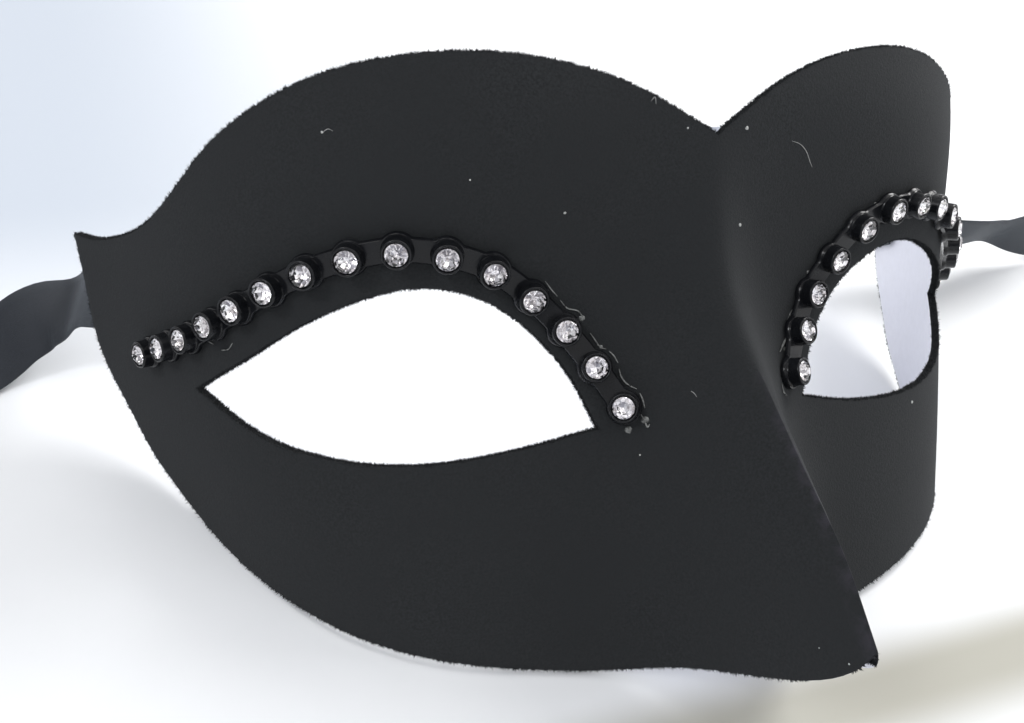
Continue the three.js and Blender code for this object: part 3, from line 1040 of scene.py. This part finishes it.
class EYEMASK_OT_fringe(bpy.types.Operator):
    """Grow the loose flock fibres that stand out from the cut edges"""

    bl_idname = "eyemask.fringe"
    bl_label = "Flock fringe"

    def execute(self, context):
        settings = context.scene.eye_mask.shell
        shell = bpy.data.objects["flocked_shell"]
        mesh = shell.data
        tagged = mesh.attributes["rim"].data
        rim = [p for p in mesh.polygons if tagged[p.index].value > 0.5]
        if not rim:
            raise RuntimeError("the shell has no cut edges to grow fibres on")
        rng = np.random.default_rng(SEEDS["fringe"])
        mesh.calc_loop_triangles()
        rim_faces = {p.index for p in rim}
        corners, normals, areas = [], [], []
        for triangle in mesh.loop_triangles:
            if triangle.polygon_index in rim_faces:
                corners.append([mesh.vertices[v].co for v in triangle.vertices])
                normals.append(triangle.normal)
                areas.append(triangle.area)
        corners, normals = np.array(corners), np.array(normals)
        count = settings.fibre_count
        picks = rng.choice(len(areas), count, p=np.array(areas) / sum(areas))
        first, second = np.sqrt(rng.random((count, 1))), rng.random((count, 1))
        a, b, c = corners[picks, 0], corners[picks, 1], corners[picks, 2]
        base = a * (1 - first) + b * first * (1 - second) + c * first * second
        heading = normals[picks] + rng.normal(0, FIBRE_LEAN, (count, 3))
        heading /= np.linalg.norm(heading, axis=1)[:, None]
        side = np.cross(heading, rng.normal(0, 1, (count, 3)))
        side /= np.linalg.norm(side, axis=1)[:, None]
        other = np.cross(heading, side)
        radius = settings.fibre_radius * rng.uniform(*FIBRE_RADII, (count, 1))
        share = rng.uniform(*FIBRE_LENGTHS, (count, 1)) ** FIBRE_SHORTNESS
        tip = base + heading * settings.fibre_length * share
        tip[:, 2] = np.maximum(tip[:, 2], FIBRE_LOWEST)
        feet = []
        for k in range(3):
            angle = k * math.tau / 3
            feet.append(base + (side * math.cos(angle) + other * math.sin(angle)) * radius)
        vertices = np.stack((*feet, tip), axis=1).reshape(-1, 3)
        faces = []
        for i in range(0, 4 * count, 4):
            faces += [(i, i + 1, i + 3), (i + 1, i + 2, i + 3), (i + 2, i, i + 3)]
        piece = mesh_piece("flock_fringe", vertices, faces)
        dress(piece, flock_material(settings.flock))
        return {"FINISHED"}


def stone_frames(hand):
    """Places of the cups on one side: underside of the strip, normal and heading."""
    places, normals = [], []
    for i in range(STONES):
        node = NODES[f"rhinestone_{hand}_{i + 1:02d}"]
        unique = np.unique(np.round([tuple(v.co) for v in node.data.vertices], 7), axis=0)
        middle = unique.mean(axis=0)
        axis = np.linalg.svd(unique - middle)[2][2]
        heights = (unique - middle) @ axis
        tip = heights[np.argmax(np.abs(heights))]
        normal = axis * -np.sign(tip)
        normals.append(normal)
        places.append(middle - normal * (abs(tip) + STONE_TIP * MM))
    places, normals = np.array(places), np.array(normals)
    headings = np.gradient(places, axis=0)
    headings -= normals * (headings * normals).sum(axis=1)[:, None]
    headings /= np.linalg.norm(headings, axis=1)[:, None]
    return places, normals, headings


def carried_on(before, end, reach):
    """A point that lies past the end, in line with the point before it."""
    ahead = end - before
    return end + ahead / np.linalg.norm(ahead) * reach


def basis(place, normal, heading):
    normal, heading = Vector(normal), Vector(heading)
    side = normal.cross(heading)
    turn = Matrix((heading, side, normal)).transposed().to_4x4()
    return Matrix.Translation(Vector(place)) @ turn


def turned_pattern(name, section, steps):
    """Turns a section, drawn point by point, round the upright axis, in millimetres."""
    deselect()
    bpy.ops.mesh.primitive_plane_add(size=1.0, location=(0.0, 0.0, 0.0))
    pattern = bpy.context.object
    pattern.name = name
    bpy.ops.object.mode_set(mode="EDIT")
    bpy.ops.mesh.select_all(action="SELECT")
    bpy.ops.mesh.merge(type="CENTER")
    bpy.ops.mesh.select_all(action="SELECT")
    last = (0.0, 0.0)
    for i, (radius, height) in enumerate(section):
        move = (radius - last[0], 0.0, height - last[1])
        if i == 0:
            bpy.ops.transform.translate(value=move)
        else:
            bpy.ops.mesh.extrude_region_move(TRANSFORM_OT_translate={"value": move})
        last = (radius, height)
    bpy.ops.mesh.select_all(action="SELECT")
    bpy.ops.mesh.spin(steps=steps, angle=math.tau, center=(0, 0, 0), axis=(0, 0, 1))
    bpy.ops.mesh.select_all(action="SELECT")
    bpy.ops.mesh.remove_doubles(threshold=0.001)
    bpy.ops.mesh.normals_make_consistent(inside=False)
    bpy.ops.object.mode_set(mode="OBJECT")
    return pattern


def joined(name, pieces):
    deselect()
    for piece in pieces:
        piece.select_set(True)
    bpy.context.view_layer.objects.active = pieces[0]
    bpy.ops.object.join()
    pieces[0].name = name
    return pieces[0]


def copy_of(pattern, name, matrix):
    piece = bpy.data.objects.new(name, pattern.data.copy())
    piece.data.transform(matrix)
    bpy.context.scene.collection.objects.link(piece)
    return piece


class EYEMASK_OT_strips(bpy.types.Operator):
    """Mould the glossy strips: a scalloped base with a cup for each stone"""

    bl_idname = "eyemask.strips"
    bl_label = "Strips"

    def execute(self, context):
        settings = context.scene.eye_mask.strips
        plastic = strip_material()
        cup = turned_pattern("cup_pattern", CUP_SECTION, CUP_STEPS)
        for hand in ("right", "left"):
            places, normals, headings = stone_frames(hand)
            parts = [self.base(f"strip_base_{hand}", places, normals, settings)]
            for i in range(STONES):
                matrix = basis(places[i], normals[i], headings[i]) @ Matrix.Scale(MM, 4)
                parts.append(copy_of(cup, f"cup_{hand}_{i + 1:02d}", matrix))
            piece = joined(f"moulded_strip_{hand}", parts)
            shade_smooth(piece, degrees=40)
            dress(piece, plastic, (f"trim_strip_{hand}",))
        bpy.data.objects.remove(cup)
        return {"FINISHED"}

    @staticmethod
    def base(name, places, normals, settings):
        """A band along the cups that is wide at each cup and narrow between."""
        reach = settings.base_width / 2
        first = carried_on(places[1], places[0], reach)
        last = carried_on(places[-2], places[-1], reach)
        ups = np.vstack((normals[:1], normals, normals[-1:]))
        middle = spline(np.vstack((first, places, last)), BASE_STEPS)
        up = spline(ups, BASE_STEPS, True)
        up /= np.linalg.norm(up, axis=1)[:, None]
        ahead = np.gradient(middle, axis=0)
        aside = np.cross(up, ahead)
        aside /= np.linalg.norm(aside, axis=1)[:, None]
        apart = np.min(np.linalg.norm(middle[:, None] - places[None], axis=2), axis=1)
        circle = np.sqrt(np.maximum(reach**2 - apart**2, (BASE_TIP * reach) ** 2))
        along = lengths_along(middle)
        from_end = np.minimum(along, along[-1] - along)
        web = np.where(from_end > reach, settings.web_width / 2, 0.0)
        half = np.maximum(circle, web)
        vertices = []
        for i in range(len(middle)):
            for side, inset, rise in BASE_SECTION:
                out = side * half[i] + inset * min(MM, half[i])
                vertices.append(middle[i] + aside[i] * out + up[i] * rise * settings.base_thick)
        faces = swept_faces(0, len(middle), len(BASE_SECTION))
        piece = mesh_piece(name, vertices, faces)
        face_outwards(piece)
        return piece


class EYEMASK_OT_stones(bpy.types.Operator):
    """Cut one rhinestone facet by facet and set a copy in each cup"""

    bl_idname = "eyemask.stones"
    bl_label = "Rhinestones"

    def execute(self, context):
        clear, silvered = crystal_materials()
        pattern = self.cut_stone()
        pattern.data.materials.append(clear)
        pattern.data.materials.append(silvered)
        for face in pattern.data.polygons:
            face.material_index = 1 if face.normal.z < SILVERED_BELOW else 0
        rng = random.Random(SEEDS["stones"])
        girdle = STONE_TIP + PAVILION_DEPTH
        for hand in ("right", "left"):
            places, normals, headings = stone_frames(hand)
            for i in range(STONES):
                lift = Matrix.Translation((0.0, 0.0, girdle))
                spin = Matrix.Rotation(rng.uniform(0, math.tau), 4, "Z")
                tilt = Matrix.Rotation(math.radians(rng.gauss(0, STONE_TILT)), 4, "X")
                place = basis(places[i], normals[i], headings[i])
                matrix = place @ Matrix.Scale(MM, 4) @ lift @ tilt @ spin
                name = f"cut_stone_{hand}_{i + 1:02d}"
                piece = copy_of(pattern, name, matrix)
                settle(piece, (f"rhinestone_{hand}_{i + 1:02d}",))
        bpy.data.objects.remove(pattern)
        return {"FINISHED"}

    @staticmethod
    def cut_stone():
        deselect()
        bpy.ops.mesh.primitive_cylinder_add(
            vertices=BLANK_SIDES, radius=STONE_RADIUS, depth=BLANK_DEPTH, location=(0, 0, 0)
        )
        stone = bpy.context.object
        stone.name = "stone_pattern"
        bpy.ops.object.mode_set(mode="EDIT")
        top = STONE_GIRDLE / 2 + CROWN_HEIGHT
        planes = [((0.0, 0.0, top), (0.0, 0.0, 1.0))]
        rows = [(row, 1, STONE_GIRDLE / 2) for row in CROWN_ROWS]
        rows.append((STAR_ROW, 1, top))
        rows += [(row, -1, -STONE_GIRDLE / 2) for row in PAVILION_ROWS]
        for (count, first, slope, radius), side, height in rows:
            for k in range(count):
                azimuth = math.radians(first + k * 360 / count)
                tilt = math.radians(slope)
                out = Vector((math.cos(azimuth), math.sin(azimuth), 0.0))
                normal = out * math.sin(tilt) + Vector((0, 0, side * math.cos(tilt)))
                planes.append((tuple(out * radius + Vector((0, 0, height))), tuple(normal)))
        for place, normal in planes:
            bpy.ops.mesh.select_all(action="SELECT")
            bpy.ops.mesh.bisect(
                plane_co=place, plane_no=normal, use_fill=True, clear_outer=True, threshold=1e-5
            )
        bpy.ops.mesh.select_all(action="SELECT")
        bpy.ops.mesh.remove_doubles(threshold=0.0005)
        bpy.ops.mesh.normals_make_consistent(inside=False)
        bpy.ops.object.mode_set(mode="OBJECT")
        return stone


def thread_mesh(vertices, faces, points, radius):
    """Adds a thin round thread along points, thinner towards both ends."""
    rows = spline([tuple(p) for p in points], THREAD_STEPS)
    first = len(vertices)
    ahead = np.gradient(rows, axis=0)
    for i, row in enumerate(rows):
        heading = Vector(ahead[i]).normalized()
        side = heading.orthogonal().normalized()
        other = heading.cross(side)
        share = i / (len(rows) - 1)
        here = radius * (THREAD_END + (1 - THREAD_END) * math.sin(math.pi * share))
        for k in range(THREAD_SIDES):
            angle = k * math.tau / THREAD_SIDES
            out = side * math.cos(angle) + other * math.sin(angle)
            vertices.append(Vector(row) + out * here)
    faces.extend(swept_faces(first, len(rows), THREAD_SIDES))


def blob_mesh(vertices, faces, place, normal, radius, rng, flat=0.5):
    """Adds a small uneven drop that sits on the surface."""
    first = len(vertices)
    side = normal.orthogonal().normalized()
    other = normal.cross(side)
    for i in range(BLOB_RINGS):
        climb = i / BLOB_RINGS * math.pi / 2
        up = normal * radius * (math.sin(climb) * flat - BLOB_SINK)
        for k in range(BLOB_SIDES):
            angle = k * math.tau / BLOB_SIDES
            here = radius * math.cos(climb) * rng.uniform(*BLOB_UNEVEN)
            out = (side * math.cos(angle) + other * math.sin(angle)) * here
            vertices.append(place + out + up)
    tip = first + BLOB_RINGS * BLOB_SIDES
    vertices.append(place + normal * radius * flat * BLOB_TOP)
    *skin, top = swept_faces(first, BLOB_RINGS, BLOB_SIDES)
    faces.extend(skin)
    for k, corner in enumerate(top):
        faces.append((corner, top[(k + 1) % BLOB_SIDES], tip))


def surface_thread(tree, vertices, faces, pixels, radius):
    points = []
    for pixel in pixels:
        place, normal = on_surface(tree, pixel)
        points.append(place + normal * radius * THREAD_LIFT)
    thread_mesh(vertices, faces, points, radius)


class EYEMASK_OT_glue(bpy.types.Operator):
    """Draw the dried threads and drops of glue that show beside the strips"""

    bl_idname = "eyemask.glue"
    bl_label = "Glue"

    def execute(self, context):
        tree = tree_of(bpy.data.objects["flocked_shell"])
        glue = plain_grained(
            "dried_glue",
            (0.16, 0.165, 0.16),
            roughness=0.22,
            scale=1200.0,
            spread=0.5,
            specular=0.6,
        )
        rng = random.Random(SEEDS["glue"])
        for hand, threads, blobs in (
            ("right", GLUE_THREADS_RIGHT, GLUE_BLOBS_RIGHT),
            ("left", GLUE_THREADS_LEFT, GLUE_BLOBS_LEFT),
        ):
            vertices, faces = [], []
            for pixels in threads:
                surface_thread(tree, vertices, faces, pixels, rng.uniform(*GLUE_RADII) * MM)
            for x, y, radius in blobs:
                place, normal = on_surface(tree, (x, y))
                blob_mesh(vertices, faces, place, normal, radius * MM, rng)
            piece = mesh_piece(f"glue_{hand}", vertices, faces)
            shade_smooth(piece, degrees=60)
            dress(piece, glue)
        return {"FINISHED"}


class EYEMASK_OT_lint(bpy.types.Operator):
    """Add the specks, stray fibres and worn spots of the mask, and the film in its notch"""

    bl_idname = "eyemask.lint"
    bl_label = "Lint and wear"

    def execute(self, context):
        tree = tree_of(bpy.data.objects["flocked_shell"])
        rng = random.Random(SEEDS["lint"])
        vertices, faces = [], []
        for x, y, radius in SPECKS:
            place, normal = on_surface(tree, (x, y))
            blob_mesh(vertices, faces, place, normal, radius * MM, rng, flat=0.7)
        for pixels in LINT_FIBRES:
            surface_thread(tree, vertices, faces, pixels, LINT_RADIUS * MM)
        piece = mesh_piece("lint", vertices, faces)
        lint = plain_grained(
            "pale_lint", (0.42, 0.43, 0.42), roughness=0.9, scale=900.0, spread=0.2
        )
        dress(piece, lint)
        vertices, faces = [], []
        for pixels in WORN_SPOTS:
            surface_thread(tree, vertices, faces, pixels, WORN_RADIUS * MM)
        piece = mesh_piece("worn_spots", vertices, faces)
        bare = plain_grained(
            "bare_edge", (0.5, 0.5, 0.48), roughness=0.6, scale=1500.0, spread=0.2
        )
        dress(piece, bare)
        self.notch_film(tree)
        return {"FINISHED"}

    @staticmethod
    def notch_film(tree):
        """A thin film of glue as far away as the edge of the shell just below it."""
        depths = []
        for x, y in NOTCH_FILM:
            place, _ = on_surface(tree, (x, y + SHELL_BELOW_FILM))
            depths.append((place - CAMERA_AT).length)
        depth = sum(depths) / len(depths)
        vertices = [CAMERA_AT + view_ray(pixel) * depth for pixel in NOTCH_FILM]
        piece = mesh_piece("notch_film", vertices, [(0, 1, 2)])
        apply_modifier(piece, "SOLIDIFY", "thick", thickness=FILM_THICK)
        film = plain_grained(
            "film", (0.55, 0.58, 0.66), roughness=0.5, scale=800.0, spread=0.1
        )
        dress(piece, film)


class EYEMASK_PT_panel(bpy.types.Panel):
    """Steps that dress the eye mask, and their sizes and colours"""

    bl_idname = "EYEMASK_PT_panel"
    bl_label = "Eye Mask"
    bl_space_type = "VIEW_3D"
    bl_region_type = "UI"
    bl_category = "Eye Mask"

    def draw(self, context):
        settings = context.scene.eye_mask
        groups = (settings.shell, settings.strips, settings.ribbons, settings.stage)
        for group in groups:
            box = self.layout.box()
            for key in group.bl_rna.properties.keys():
                if key not in ("rna_type", "name"):
                    box.prop(group, key)
        for step in STEPS:
            self.layout.operator(step.bl_idname)


STEPS = (
    EYEMASK_OT_stage,
    EYEMASK_OT_ribbons,
    EYEMASK_OT_shell,
    EYEMASK_OT_fringe,
    EYEMASK_OT_strips,
    EYEMASK_OT_stones,
    EYEMASK_OT_glue,
    EYEMASK_OT_lint,
)
CLASSES = (
    EyeMaskShell,
    EyeMaskStrips,
    EyeMaskRibbons,
    EyeMaskStage,
    EyeMaskSettings,
    *STEPS,
    EYEMASK_PT_panel,
)


def register():
    for cls in CLASSES:
        bpy.utils.register_class(cls)
    bpy.types.Scene.eye_mask = PointerProperty(type=EyeMaskSettings)


def unregister():
    del bpy.types.Scene.eye_mask
    for cls in reversed(CLASSES):
        bpy.utils.unregister_class(cls)


def main():
    register()
    bpy.ops.eyemask.stage()
    bpy.ops.eyemask.ribbons()
    bpy.ops.eyemask.shell()
    bpy.ops.eyemask.fringe()
    bpy.ops.eyemask.strips()
    bpy.ops.eyemask.stones()
    bpy.ops.eyemask.glue()
    bpy.ops.eyemask.lint()


if __name__ == "__main__":
    main()
